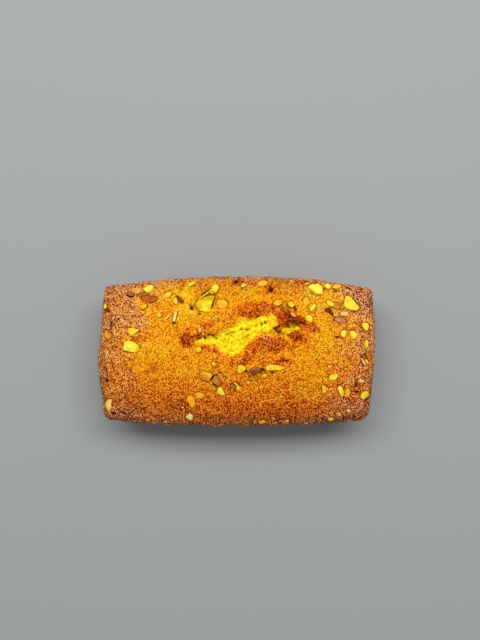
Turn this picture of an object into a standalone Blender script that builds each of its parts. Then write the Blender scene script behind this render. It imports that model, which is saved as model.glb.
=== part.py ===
"""A rectangular financier cake, baked in a tapered tin and topped with chopped nuts.

Metres, +Z up. The origin is the middle of the underside, +X runs along the cake and
+Z up through its domed, split top. The cake is one solid, and each of the largest nut
pieces is a solid of its own, sunk in a pocket of the crust.
"""

import math
import random

import bmesh
import bpy
from mathutils import Matrix, Vector

MM = 0.001

# The cake's outline. It swells between its corners at the rim, and is straight at the base.
LENGTH = 95.8 * MM
WIDTH = 52.0 * MM
BASE_LENGTH = 88.2 * MM
BASE_WIDTH = 44.4 * MM
BASE_EDGE_RADIUS = 1.8 * MM
BASE_CORNER_RADIUS = 3.0 * MM

# Each rim corner: how far it stays behind the swollen ends and sides, and its radius.
# The keys are the signs of X and Y.
RIM_CORNERS = {
    (-1, 1): {"end": 1.6 * MM, "side": 3.9 * MM, "radius": 1.2 * MM},
    (1, 1): {"end": 2.0 * MM, "side": 4.7 * MM, "radius": 2.6 * MM},
    (-1, -1): {"end": 2.2 * MM, "side": 2.6 * MM, "radius": 2.4 * MM},
    (1, -1): {"end": 1.7 * MM, "side": 2.1 * MM, "radius": 4.0 * MM},
}
END_SWELL_POWER = 1.5
SIDE_SWELL_POWER = 2.0

# The cake came out of its tin slightly skewed: the rim's +Y side lies this far towards
# +X, and its -Y side as far towards -X.
RIM_SKEW = 0.9 * MM

# Heights. The crust's rim dips at the corners. From it the crust turns over on a round
# shoulder, and then a broad dome rises to the middle.
RIM_HEIGHT = 17.5 * MM
CORNER_DIP = 1.4 * MM
SHOULDER_RISE = 3.4 * MM
SHOULDER_REACH = 6.0 * MM
DOME_RISE = 5.0 * MM
DOME_END_POWER = 3.0
DOME_SIDE_POWER = 2.2

# The crust overhangs the wall by a small lip over the top part of the wall.
LIP_SHARE = 0.12
LIP_START = 0.72

# The split along the dome: a valley of torn crumb between two raised crust lips.
SPLIT_MIDDLE = Vector((0.6 * MM, 6.0 * MM))
SPLIT_LENGTH = 31.0 * MM
SPLIT_WIDTH = 7.0 * MM
SPLIT_ANGLE = math.radians(14.0)
SPLIT_DEPTH = 1.0 * MM
SPLIT_LIP = 0.8 * MM

# The mesh's divisions.
GRID_ALONG = 60
GRID_ACROSS = 34
EDGE_GRADING = 1.3
ARC_STEPS = 3
WALL_STEPS = 7

# The largest nut pieces: (x, y, length, width, turn), in millimetres and degrees.
NUTS = {
    "nut_half_kernel": (-11.0, 16.9, 7.4, 4.6, 42),
    "nut_chunk_left": (-35.8, 1.8, 5.8, 3.8, -22),
    "nut_chunk_right": (39.1, 16.4, 6.2, 3.6, -42),
    "nut_chunk_rim": (27.3, 21.3, 4.9, 4.2, 10),
    "nut_sliver": (13.3, -5.3, 7.2, 2.2, 3),
    "nut_chunk_front": (-10.8, -8.2, 4.5, 2.9, -8),
    "nut_chunk_middle": (6.2, -6.4, 4.3, 2.5, 5),
    "nut_chunk_low": (-15.4, -17.0, 4.8, 2.6, -72),
}
NUT_THICKNESS_SHARE = 0.62
NUT_SUNK_SHARE = 0.12
NUT_POINTS = 20
NUT_BLUNTNESS = 0.7
NUT_SEED = 7
POCKET_GAP = 0.45 * MM

CRUST_COLOUR = (0.62, 0.23, 0.025, 1.0)
NUT_COLOUR = (0.80, 0.62, 0.06, 1.0)


def blended(corner_values, u, v):
    """A value at u, v, from -1 to 1, between its values at the four corners."""
    total = 0.0
    for (sign_x, sign_y), value in corner_values.items():
        total += value * (1 + sign_x * u) * (1 + sign_y * v) / 4
    return total


def rounded(u, v, half_length, half_width, radius):
    """u, v with the square's corner turned to a round one of that radius."""
    x = abs(u) * half_length - (half_length - radius)
    y = abs(v) * half_width - (half_width - radius)
    if x <= 0 or y <= 0:
        return u, v
    a, b = x / radius, y / radius
    x = radius * a * math.sqrt(1 - b * b / 2)
    y = radius * b * math.sqrt(1 - a * a / 2)
    return (
        math.copysign(1 - (radius - x) / half_length, u),
        math.copysign(1 - (radius - y) / half_width, v),
    )


def rim_place(u, v):
    """The X and Y on the top, or at its rim, of u, v."""
    nearest = (1 if u >= 0 else -1, 1 if v >= 0 else -1)
    radius = RIM_CORNERS[nearest]["radius"]
    u, v = rounded(u, v, LENGTH / 2, WIDTH / 2, radius)
    ends = {corner: value["end"] for corner, value in RIM_CORNERS.items()}
    sides = {corner: value["side"] for corner, value in RIM_CORNERS.items()}
    x = u * (LENGTH / 2 - abs(v) ** END_SWELL_POWER * blended(ends, u, v))
    y = v * (WIDTH / 2 - abs(u) ** SIDE_SWELL_POWER * blended(sides, u, v))
    return Vector((x + RIM_SKEW * v, y))


def rim_height(u, v):
    return RIM_HEIGHT - CORNER_DIP * u * u * v * v


def shoulder(inward):
    """The rise of the crust's round shoulder, from 0 at the rim to 1 at its inner end."""
    left = max(0.0, 1 - inward / SHOULDER_REACH)
    return math.sqrt(1 - left * left)


def split_relief(x, y):
    """The height that the split adds: torn crumb lies low, and its crust lips stand up."""
    turned = Matrix.Rotation(-SPLIT_ANGLE, 2) @ (Vector((x, y)) - SPLIT_MIDDLE)
    along = turned.x / (SPLIT_LENGTH / 2)
    across = turned.y / (SPLIT_WIDTH / 2)
    away = math.hypot(along, across)
    valley = -SPLIT_DEPTH * math.exp(-((away / 0.7) ** 4))
    lip = SPLIT_LIP * math.exp(-(((away - 1.15) / 0.33) ** 2))
    return valley + lip


def top_height(u, v):
    """The crust's height at u, v."""
    edge = shoulder((1 - abs(u)) * LENGTH / 2) * shoulder((1 - abs(v)) * WIDTH / 2)
    dome = (1 - abs(u) ** DOME_END_POWER) * (1 - abs(v) ** DOME_SIDE_POWER)
    x, y = rim_place(u, v)
    rise = SHOULDER_RISE * edge + DOME_RISE * dome
    return rim_height(u, v) + rise + split_relief(x, y)


def wall_share(level):
    """How far out the wall is at a level, from 0 at the base to 1 at the rim's lip."""
    past = max(0.0, (level - LIP_START) / (1 - LIP_START))
    return (1 - LIP_SHARE) * level + LIP_SHARE * past * past * (3 - 2 * past)


def cake_point(u, v, level):
    """A point of the cake's skin.

    u and v run from -1 to 1 over the length and width. level runs from -1 to 0 round
    the base's edge, and from 0 to 1 up the wall. At 1 it is the top.
    """
    rim = rim_place(u, v)
    if level >= 1:
        return Vector((rim.x, rim.y, top_height(u, v)))
    base_u, base_v = rounded(u, v, BASE_LENGTH / 2, BASE_WIDTH / 2, BASE_CORNER_RADIUS)
    turn = max(0.0, -level) * math.pi / 2
    inset = BASE_EDGE_RADIUS * (1 - math.cos(turn))
    base = Vector(
        (
            base_u * (BASE_LENGTH / 2 - inset),
            base_v * (BASE_WIDTH / 2 - inset),
        )
    )
    if level <= 0:
        return Vector((base.x, base.y, BASE_EDGE_RADIUS * (1 - math.sin(turn))))
    place = base.lerp(rim, wall_share(level))
    height = BASE_EDGE_RADIUS + level * (rim_height(u, v) - BASE_EDGE_RADIUS)
    return Vector((place.x, place.y, height))


def graded(t):
    """t from -1 to 1, with its steps closer together near the ends."""
    return math.sin(t * EDGE_GRADING) / math.sin(EDGE_GRADING)


def levels_down():
    """The levels of the wall's rings below the rim, down to the flat underside."""
    walls = [1 - (step + 1) / WALL_STEPS for step in range(WALL_STEPS)]
    arcs = [-(step + 1) / ARC_STEPS for step in range(ARC_STEPS)]
    return walls + arcs


def material(name, colour, roughness):
    made = bpy.data.materials.new(name)
    made.use_nodes = True
    shader = made.node_tree.nodes["Principled BSDF"]
    shader.inputs["Base Color"].default_value = colour
    shader.inputs["Roughness"].default_value = roughness
    shader.inputs["Metallic"].default_value = 0.0
    return made


def linked(name, bm, finish):
    """A new object from a bmesh, with its material."""
    mesh = bpy.data.meshes.new(name)
    bm.to_mesh(mesh)
    bm.free()
    mesh.materials.append(finish)
    made = bpy.data.objects.new(name, mesh)
    bpy.context.scene.collection.objects.link(made)
    return made


def make_cake(finish):
    """The cake: a grid for the top, its border drawn down ring by ring, and a flat base.

    The mesh is drawn in u, v and level first, and then each vertex goes to its place.
    """
    bm = bmesh.new()
    bmesh.ops.create_grid(bm, x_segments=GRID_ALONG, y_segments=GRID_ACROSS, size=1.0)
    for vert in bm.verts:
        vert.co.z = 1.0
    border = [edge for edge in bm.edges if edge.is_boundary]
    for level in levels_down():
        drawn = bmesh.ops.extrude_edge_only(bm, edges=border)["geom"]
        for vert in drawn:
            if isinstance(vert, bmesh.types.BMVert):
                vert.co.z = level
        border = [edge for edge in drawn if isinstance(edge, bmesh.types.BMEdge)]
        border = [edge for edge in border if edge.is_boundary]
    bmesh.ops.edgeloop_fill(bm, edges=border)
    for vert in bm.verts:
        vert.co = cake_point(graded(vert.co.x), graded(vert.co.y), vert.co.z)
    bmesh.ops.recalc_face_normals(bm, faces=bm.faces)
    cake = linked("cake", bm, finish)
    cake.data.shade_smooth()
    cake.data.set_sharp_from_angle(angle=math.radians(60))
    return cake


def square_place(x, y):
    """The u, v of a place on the top, found by repeated correction."""
    u, v = 2 * x / LENGTH, 2 * y / WIDTH
    for _ in range(6):
        found = rim_place(u, v)
        u += 2 * (x - found.x) / LENGTH
        v += 2 * (y - found.y) / WIDTH
    return u, v


def top_frame(x, y, turn):
    """The place and direction of something lying on the crust at x, y."""
    step = 1.0 * MM
    here = Vector((x, y, top_height(*square_place(x, y))))
    ahead = Vector((x + step, y, top_height(*square_place(x + step, y))))
    aside = Vector((x, y + step, top_height(*square_place(x, y + step))))
    up = (ahead - here).cross(aside - here).normalized()
    lean = Vector((0, 0, 1)).rotation_difference(up).to_matrix().to_4x4()
    return Matrix.Translation(here) @ lean @ Matrix.Rotation(turn, 4, "Z")


def scattered_points(chance):
    """Points scattered over a blunt ball, stretched so that they just fill their box."""
    points = []
    for _ in range(NUT_POINTS):
        point = Vector([chance.gauss(0, 1) for _ in range(3)]).normalized()
        points.append([math.copysign(abs(c) ** NUT_BLUNTNESS, c) for c in point])
    for axis in range(3):
        low = min(point[axis] for point in points)
        high = max(point[axis] for point in points)
        for point in points:
            point[axis] = 2 * (point[axis] - low) / (high - low) - 1
    return points


def nut_mesh(number, size, grown):
    """A chopped nut piece: the hull of scattered points, each side grown by that much."""
    bm = bmesh.new()
    for point in scattered_points(random.Random(NUT_SEED + number)):
        bm.verts.new([c * (side / 2 + grown) for c, side in zip(point, size)])
    bmesh.ops.convex_hull(bm, input=bm.verts)
    loose = [vert for vert in bm.verts if not vert.link_faces]
    bmesh.ops.delete(bm, geom=loose, context="VERTS")
    bmesh.ops.recalc_face_normals(bm, faces=bm.faces)
    return bm


def make_nuts(cake, nut_finish):
    """Each nut piece, and the pocket that holds it."""
    for number, (name, (x, y, length, width, turn)) in enumerate(NUTS.items()):
        size = [length * MM, width * MM, width * MM * NUT_THICKNESS_SHARE]
        place = top_frame(x * MM, y * MM, math.radians(turn))
        place @= Matrix.Translation((0, 0, -NUT_SUNK_SHARE * size[2]))
        nut = linked(name, nut_mesh(number, size, 0.0), nut_finish)
        nut.matrix_world = place
        pocket = linked(name + "_pocket", nut_mesh(number, size, POCKET_GAP), nut_finish)
        pocket.matrix_world = place
        pocket.hide_render = True
        pocket.display_type = "WIRE"
        cut = cake.modifiers.new(pocket.name, "BOOLEAN")
        cut.operation = "DIFFERENCE"
        cut.object = pocket


def main():
    for old in list(bpy.data.objects):
        bpy.data.objects.remove(old)
    crust = material("crust", CRUST_COLOUR, 0.6)
    nut = material("nut", NUT_COLOUR, 0.45)
    make_nuts(make_cake(crust), nut)


main()
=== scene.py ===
"""The looks of a rectangular financier cake with chopped nuts, made round its solids.

Metres, +Z up, in the solids' own frame: the origin is the middle of the underside, +X
runs along the cake, and +Y is the top of the photo, which looks straight down.
"""

import itertools
import math
from collections import namedtuple
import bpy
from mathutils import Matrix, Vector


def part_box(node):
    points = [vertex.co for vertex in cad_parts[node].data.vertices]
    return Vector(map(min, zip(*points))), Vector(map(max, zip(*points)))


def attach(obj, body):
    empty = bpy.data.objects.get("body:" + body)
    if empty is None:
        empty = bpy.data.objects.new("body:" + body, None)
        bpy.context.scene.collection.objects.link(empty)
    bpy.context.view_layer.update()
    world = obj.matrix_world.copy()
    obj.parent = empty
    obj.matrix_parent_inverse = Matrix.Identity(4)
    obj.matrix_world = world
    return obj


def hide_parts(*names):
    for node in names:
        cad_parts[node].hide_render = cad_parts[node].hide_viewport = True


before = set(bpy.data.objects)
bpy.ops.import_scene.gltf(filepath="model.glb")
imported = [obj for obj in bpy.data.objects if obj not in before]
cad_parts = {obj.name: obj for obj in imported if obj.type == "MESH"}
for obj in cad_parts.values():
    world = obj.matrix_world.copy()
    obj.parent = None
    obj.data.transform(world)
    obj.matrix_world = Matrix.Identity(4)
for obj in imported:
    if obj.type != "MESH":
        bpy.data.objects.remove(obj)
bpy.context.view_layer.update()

from types import SimpleNamespace

import bmesh
import bpy
import numpy as np
from mathutils import Matrix, Vector

MM = 0.001

# The camera looks straight down. A pixel of the photo is this wide at the rim's height.
PIXEL = 0.3478 * MM
PHOTO_SIZE = np.array((480.0, 640.0))
PHOTO_MIDDLE = PHOTO_SIZE / 2
CAMERA_PLACE = np.array((1.2, 10.8)) * MM
LENS = 40.0
SENSOR = 36.0
VIEW_DISTANCE = PIXEL * PHOTO_SIZE[1] * LENS / SENSOR

# The cake's base and its rim, whose outline is within a millimetre of its solid's. u runs
# from -1 to 1 along the cake and v across it, and RIM_CORNERS' keys are their signs at each
# corner. There the rim draws back from the box at the end and at the side, and turns with
# its radius. The dent in the left end has its depth, and its middle and half width in v.
CAKE_LOW, CAKE_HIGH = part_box("cake")
LENGTH = CAKE_HIGH.x - CAKE_LOW.x
WIDTH = CAKE_HIGH.y - CAKE_LOW.y
TAPER = 7.6 * MM
BASE_LENGTH = LENGTH - TAPER
BASE_WIDTH = WIDTH - TAPER
BASE_EDGE_RADIUS = 1.8 * MM
BASE_CORNER_RADIUS = 3.0 * MM
RIM_CORNERS = {
    (-1, 1): {"end": 1.2 * MM, "side": 3.8 * MM, "radius": 1.0 * MM},
    (1, 1): {"end": 1.5 * MM, "side": 4.3 * MM, "radius": 2.3 * MM},
    (-1, -1): {"end": 3.1 * MM, "side": 2.1 * MM, "radius": 1.8 * MM},
    (1, -1): {"end": 1.2 * MM, "side": 1.9 * MM, "radius": 3.5 * MM},
}
LEFT_DENT = (0.65 * MM, 0.15, 0.22)
END_SWELL_POWER = 1.5
SIDE_SWELL_POWER = 2.0
RIM_SKEW = 0.9 * MM
RIM_HEIGHT = 17.5 * MM
CORNER_DIP = 1.4 * MM

# The top: a shoulder that rises steeply from the rim, and a dome over the whole of it.
SHOULDER_RISE = 3.4 * MM
SHOULDER_REACH = 6.0 * MM
DOME_RISE = 5.0 * MM
DOME_END_POWER = 3.0
DOME_SIDE_POWER = 2.2

# The lip, in which the walls lean out further near the rim: its share of their whole lean,
# and how far up them it starts.
LIP_SHARE = 0.12
LIP_START = 0.72

# Places on the top are found by repeated correction: how often for their u and v, how near
# the rim these may come, and how often for the height at which the camera sees a pixel.
PLACE_CORRECTIONS = 8
PLACE_LIMIT = 0.985
HEIGHT_CORRECTIONS = 5

# The fine mesh's divisions. The underside's cells are COARSE of the top's cells long and
# wide.
COLUMNS = 328
ROWS = 168
COARSE = 4
WALL_RINGS = 28
ARC_RINGS = 4

# The top's cells crowd together at its edges and round its split: how much and how far in
# from the edges, how much round the split, where its middle is along and across the cake
# and how far the crowd reaches from there, and how finely all this is worked out.
EDGE_CROWD = 1.2
EDGE_CROWD_REACH = 1.2 * MM
SPLIT_CROWD = 0.5
LENGTH_CROWD = (3.0 * MM, 24.0 * MM)
WIDTH_CROWD = (5.0 * MM, 11.0 * MM)
CROWD_SAMPLES = 4001

# The dull brown of the crust along each edge of the top, whose pale pinkish grain tips are
# painted sheen: how strong it is, how far in it reaches, and the power by which it ends there.
EDGE_BROWNING = {
    "left": (0.44, 13.0 * MM, 1.5),
    "right": (0.48, 13.0 * MM, 1.6),
    "low": (0.70, 4.6 * MM, 2.0),
    "high": (0.36, 3.6 * MM, 1.5),
}

# The orange glow of the crust inside its brown edges: along the low side, where it
# darkens to the rim, and along the ends. Each has its strength, its reach and its power.
LOW_GLOW = (0.60, 16.0 * MM, 3.0)
LOW_CHAR = (0.80, 8.2 * MM, 2.2)
END_GLOW = (0.50, 10.5 * MM, 1.8)

# The walls' dull brown with its painted sheen, and how much of it the rim takes on where
# the top meets them.
WALL_BROWN = 0.80
RIM_BROWN = 0.95
HIGH_RIM_BROWN = 0.38
RIM_BROWN_REACH = 1.6 * MM

# How mottled the walls are, on the scale on which the smooth top is 0 and its edges are 1,
# and how far the tones of their grain are drawn to a single one, and which.
WALL_SWING = -0.7
WALL_CALM = 0.45
WALL_RELIEF = 0.55

# Layers of noise in the skin: how strong each is, how large its bumps are, and its seed.
# The swells are in millimetres.
SWELLS = ((0.35, 14.0 * MM, 1), (0.16, 4.5 * MM, 2))
BROAD_BLOTCHES = ((1.0, 9.0 * MM, 41), (0.5, 4.0 * MM, 43))
FINE_BLOTCHES = ((0.6, 2.4 * MM, 47), (0.4, 1.3 * MM, 49))
CLUMPS = ((0.7, 2.6 * MM, 55), (0.5, 1.4 * MM, 57))

# Single noises in the skin: how large their bumps are, and their seeds.
LARGE_GRAINS = (1.3 * MM, 13)
SMALL_GRAINS = (0.75 * MM, 17)
PORES = (2.4 * MM, 23)
CRUMB_RIDGES = (1.7 * MM, 29)
CRUMB_GRAINS = (0.8 * MM, 31)
RIM_WAVES = (2.2 * MM, 37)
CRACK_BREAKS = (1.1 * MM, 11)
NUT_COVERS = (1.4 * MM, 53)

# Noises that make outlines ragged: how large their bumps are, how far they shift an
# outline, and their seeds.
PATCH_TEARS = (2.0 * MM, 0.6 * MM, 3)
LIFT_TEARS = (2.0 * MM, 0.5 * MM, 3)
BED_TEARS = (0.9 * MM, 0.12 * MM, 5)
CRUMB_TEARS = (0.9 * MM, 0.3 * MM, 7)
PIT_TEARS = (0.7 * MM, 0.2 * MM, 9)

# Where features start and where they are at their full strength: shares of a patch's or a
# pit's size, distances out from the bare crumb and the crack, and distances out from the
# outline of a nut piece, for its bed and for the two sides of the ring round it.
PATCH_BORDER = (1.3, 0.65)
DULL_AND_SHEEN_BORDER = (1.6, 0.3)
LIFT_BORDER = (1.35, 0.2)
PIT_BORDER = (1.5, 0.4)
CRUMB_BORDER = (1.3 * MM, -1.0 * MM)
CRACK_BORDER = (0.65 * MM, 0.1 * MM)
BED_BORDER = (0.05 * MM, -0.35 * MM)
RING_INSIDE = (-0.45 * MM, -0.05 * MM)
RING_OUTSIDE = (0.50 * MM, 0.10 * MM)

# How deep the crust's features go, and how high they stand, in millimetres.
PORE_DEPTH = 0.35
PIT_DEPTH = 0.8
CRACK_DEPTH = 0.7
NUT_BED_DEPTH = 0.9
NUT_GROOVE_DEPTH = 0.3
NUT_COVER_HEIGHT = 0.28
RIM_WAVE_HEIGHT = 0.2
CRUMB_RIDGE_HEIGHT = 0.32
CRUMB_GRAIN_HEIGHT = 0.2
CRUMB_DEPTH = 0.8

# The split: outlines of bare crumb, and the crack's course, in pixels of the photo.
CRUMB_OUTLINE = (
    (194, 341.5), (199, 337), (207, 337), (215, 335.5), (222, 332.5), (229, 328), (235, 324.5),
    (239.5, 320.5), (244, 320.5), (250, 320), (258, 316.5), (263, 313), (268, 311), (275, 312.5),
    (279, 318), (281, 324), (276.5, 325.5), (270, 331), (261, 332), (254.5, 337.5), (248, 343),
    (242, 348.5), (238.5, 353.5), (233, 355.5), (224, 352.5), (218, 349), (214, 344.5), (207, 342.8),
    (200, 343),
)
SIDE_CRUMB_OUTLINE = (
    (268, 334.5), (275, 332), (281, 332.5), (284, 328), (289, 322), (297, 322.5), (304, 326.5),
    (303, 330), (296, 330.5), (290, 332.5), (287, 336.5), (277, 336.5),
)
CRACK = (
    (193, 341.5), (199, 338.6), (204.8, 337.8), (208.7, 334.6), (213, 336.6), (216.2, 338.5),
    (220, 337), (227.5, 333.5), (234.8, 331.8), (241.5, 328.8), (246.5, 329.4), (253, 326.8),
    (262, 324.4),
)

# Patches of browned crust round the split: the pixel at the middle, half the length and
# half the width in millimetres, the turn, how brown, and the lift in millimetres.
BROWN_PATCHES = {
    "upper_lip": (253.5, 309.5, 6.6, 2.7, 3, 0.73, 0.7),
    "upper_lip_right": (278.5, 311.5, 3.3, 1.7, -35, 0.66, 0.4),
    "upper_lip_left": (222, 315.5, 5.4, 2.2, 12, 0.30, 0.2),
    "upper_lip_spot": (231, 314, 1.9, 1.6, 30, 0.46, 0.1),
    "upper_lip_low": (246, 315, 2.4, 1.1, 0, 0.50, 0.0),
    "left_patch": (208.5, 325, 2.8, 1.6, 20, 0.80, 0.1),
    "right_zone": (285, 318, 2.4, 3.4, 0, 0.80, 0.3),
    "right_band": (295.5, 319.5, 3.8, 1.8, -22, 0.96, 0.5),
    "right_band_end": (312, 327, 3.7, 1.5, -28, 0.76, 0.5),
    "right_band_low": (305, 327.5, 2.4, 1.1, -20, 0.56, 0.1),
    "round_bump": (296.5, 336, 2.2, 2.1, 0, 0.90, 0.7),
    "round_bump_side": (305.5, 334.5, 1.8, 2.4, 0, 0.56, 0.2),
    "round_bump_low": (293.5, 345, 2.2, 1.3, 0, 0.42, 0.0),
    "side_crumb_glow": (281, 334.5, 3.6, 0.9, 0, 0.42, 0.0),
    "lower_lip": (271.5, 344.4, 5.9, 2.4, -3, 0.78, 0.75),
    "lower_lip_left": (251, 352, 4.4, 2.2, 50, 0.58, 0.3),
    "lower_lip_tail": (246, 360, 2.2, 1.4, 70, 0.54, 0.1),
    "left_end": (186, 341, 2.2, 2.8, 0, 1.0, -0.2),
    "left_end_top": (197, 335.5, 2.7, 0.9, 10, 0.80, 0.1),
    "left_end_side": (189.5, 331, 1.4, 1.3, 0, 0.58, 0.1),
    "left_low_spot": (204.5, 346, 1.6, 1.0, -10, 0.74, 0.0),
    "left_low_streak": (213, 351, 3.0, 1.0, -15, 0.56, 0.0),
    "low_glow": (228, 361, 5.5, 1.6, 0, 0.36, 0.0),
    "right_glow": (309, 343, 3.4, 3.0, 20, 0.18, 0.0),
    "crumb_spot": (245.5, 338.5, 1.8, 1.8, 0, 0.36, 0.0),
    "crumb_corner": (272.5, 320.5, 3.0, 2.8, 0, 0.33, 0.0),
    "crumb_top": (227, 323, 5.0, 2.2, 28, 0.12, 0.0),
    "under_glow": (266, 367, 11.0, 5.0, 0, 0.22, 0.0),
    "left_glow": (160, 371, 5.0, 4.0, 0, 0.18, 0.0),
    "left_high_glow": (141, 336, 3.8, 3.4, 0, 0.30, 0.0),
    "left_low_glow": (118, 373, 4.0, 3.6, 0, 0.16, 0.0),
    "low_spot": (282.3, 361.3, 2.6, 0.9, 0, 0.95, -0.1),
    "low_middle": (255, 411, 25.0, 4.2, 0, 0.34, 0.0),
    "burnt_rim": (237.5, 282, 2.6, 1.6, 20, 1.0, -0.1),
    "burnt_rim_right": (252, 283.5, 1.7, 1.1, -20, 0.62, 0.0),
    "brown_rim": (298.5, 283.5, 2.8, 1.1, -15, 0.85, 0.0),
    "high_spot": (270.5, 289.5, 2.0, 1.5, 70, 0.78, 0.0),
    "high_spot_right": (277, 286, 1.8, 1.0, 20, 0.55, 0.0),
    "right_edge": (362.5, 322, 2.2, 7.0, 0, 0.26, 0.0),
    "right_low_glow": (337, 373, 3.6, 3.4, 0, 0.22, 0.0),
    "left_low_end": (134, 389, 4.0, 2.6, 0, 0.18, 0.0),
    "low_right_gap": (355, 387.5, 2.2, 1.5, 60, 0.60, 0.0),
    "low_right_gap_low": (351.5, 397.5, 2.8, 0.9, -8, 0.50, 0.0),
}

# Patches where the crust is as dull and rough as at its edges, with the same painted sheen
# on its pale grain tips, in the same terms.
DULL_AND_SHEEN_PATCHES = {
    "top_left": (118, 303, 9.5, 7.5, 0, 0.38, 0.0),
    "top_right": (363, 297, 5.5, 6.5, 0, 0.80, 0.0),
    "top_left_spot": (144, 323, 2.6, 2.2, 0, 0.34, 0.0),
    "lip_bump": (266.4, 339, 1.5, 1.2, 0, 0.50, 0.3),
    "low_right": (356, 409, 10.0, 4.4, 0, 0.50, 0.0),
    "low_left": (122, 414, 7.5, 3.4, 0, 0.42, 0.0),
}

# Patches where the golden crust is as yellow as thin crumb, in the same terms.
YELLOW_PATCHES = {
    "kernel_left": (185, 308, 4.6, 6.2, 0, 0.40, 0.0),
    "kernel_low": (216, 313, 7.0, 2.8, 5, 0.34, 0.0),
    "high_left": (170, 293, 10.0, 3.0, 8, 0.36, 0.0),
    "high_middle": (246, 295, 5.5, 3.0, 0, 0.34, 0.0),
    "high_right": (313, 299, 5.0, 4.6, 0, 0.42, 0.0),
    "high_right_end": (335, 300, 3.6, 7.0, 0, 0.38, 0.0),
    "right": (325, 338, 3.6, 5.4, 0, 0.38, 0.0),
    "low_right": (312, 391, 8.5, 3.2, 0, 0.32, 0.0),
    "left": (155, 349, 8.0, 4.4, 0, 0.36, 0.0),
}

# Patches painted darker without being browner, in the same terms: painted shade where the
# lip shades the side crumb, below the round bump and along the crack, and darker crust elsewhere.
DIM_PATCHES = {
    "side_crumb_top": (291, 324.5, 2.7, 1.0, -5, 0.60, 0.0),
    "side_crumb": (287, 331, 5.5, 1.8, -5, 0.22, 0.0),
    "behind_right": (286.5, 308.5, 1.9, 2.4, 0, 0.42, 0.0),
    "below_bump": (291, 348, 1.1, 1.0, 0, 0.40, 0.0),
    "left_end": (185.5, 339, 1.4, 2.2, 0, 0.35, 0.0),
    "right_band": (294.5, 319.5, 3.4, 1.3, -28, 0.48, 0.0),
    "left_crack": (206, 336.5, 3.4, 0.9, 12, 0.25, 0.0),
    "under_middle": (257, 376, 2.6, 0.9, -10, 0.35, 0.0),
    "high_side": (252, 285, 30.0, 4.0, 0, 0.15, 0.0),
    "left_low_edge": (103.5, 374, 1.2, 9.5, 0, 0.22, 0.0),
    "left_low": (120, 397, 3.4, 2.4, 0, 0.16, 0.0),
    "low_left": (177, 404.5, 3.6, 1.6, 12, 0.18, 0.0),
}

# Pits, sunk into the crust and darkened with painted shade: the pixel, length and width in
# millimetres, and turn.
PITS = (
    (204.8, 337.8, 1.1, 1.0, 0), (208.7, 334.5, 0.8, 0.6, 40), (199, 338.6, 1.2, 0.5, 20),
    (216.2, 338.6, 1.0, 0.5, 10), (227.5, 333.5, 1.0, 0.5, 20), (234.8, 331.8, 0.6, 0.4, 0),
    (241.5, 328.8, 0.8, 0.5, 20), (246.6, 329.2, 0.6, 0.4, 0), (265.5, 322.1, 1.3, 1.1, 0),
    (262.4, 324.8, 0.7, 0.4, 40), (277, 327.2, 2.9, 0.9, 32), (279.5, 332, 1.2, 0.5, 0),
    (271, 289, 1.4, 2.3, 0), (191.5, 306.8, 1.4, 1.9, 25), (213.2, 302, 0.7, 3.6, -14),
    (173.4, 323.3, 1.1, 0.7, 0), (295.3, 309.2, 1.0, 1.6, 30), (316.8, 359.5, 0.7, 0.6, 0),
    (107.8, 311, 2.6, 0.8, -20), (111, 324, 1.0, 1.6, 0), (129.5, 295.4, 2.4, 0.9, -22),
    (337, 337.2, 1.7, 0.6, 20), (106.5, 381, 1.2, 1.0, 0), (356, 384.5, 0.9, 2.4, 0),
    (357, 392, 1.2, 1.2, 0), (236, 280.5, 1.8, 1.2, 20), (114, 414, 1.3, 1.2, 0),
    (123, 414, 1.0, 1.0, 0), (245.8, 371, 0.9, 0.8, 0), (204.6, 292.4, 3.8, 0.6, 40),
    (199.6, 302, 2.2, 0.5, 30), (239.2, 383.4, 0.5, 1.2, 0), (211.9, 378.6, 0.9, 2.6, -38),
    (215, 385.4, 1.7, 0.6, -30), (262.6, 369.6, 1.0, 1.2, 0), (272, 372.4, 2.2, 0.6, -14),
    (258, 316.4, 1.6, 0.5, 20), (314, 331, 0.7, 0.8, 0), (365.5, 354.4, 0.7, 0.9, 0),
    (355, 301.5, 0.6, 4.2, 44), (336, 291, 1.8, 0.5, 0), (199.4, 313.4, 1.0, 0.5, 0),
)

# The crust's colours from its gaps, over its body and its grains, to their tips, and
# the tones at which each of these comes. The tone follows the relief and the bumps, so the
# dark end is painted shade in the gaps and the light end painted highlight on the tips.
CRUST_TONES = (0.14, 0.40, 0.62, 0.92)
CRUST_COLOURS = {
    "golden": ((0.50, 0.092, 0.001), (0.79, 0.225, 0.001), (0.95, 0.338, 0.002), (1.0, 0.53, 0.022)),
    "orange": ((0.25, 0.022, 0.001), (0.63, 0.085, 0.001), (0.84, 0.152, 0.003), (1.0, 0.42, 0.025)),
    "charred": ((0.11, 0.006, 0.001), (0.29, 0.022, 0.001), (0.48, 0.057, 0.002), (0.90, 0.24, 0.02)),
    "dull": ((0.15, 0.017, 0.001), (0.47, 0.096, 0.010), (0.69, 0.179, 0.028), (1.0, 0.50, 0.17)),
    "brown": ((0.08, 0.006, 0.001), (0.25, 0.038, 0.004), (0.38, 0.079, 0.014), (0.88, 0.39, 0.16)),
    "crumb": ((0.84, 0.38, 0.001), (0.94, 0.63, 0.001), (0.985, 0.82, 0.005), (1.0, 0.99, 0.05)),
}
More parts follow.
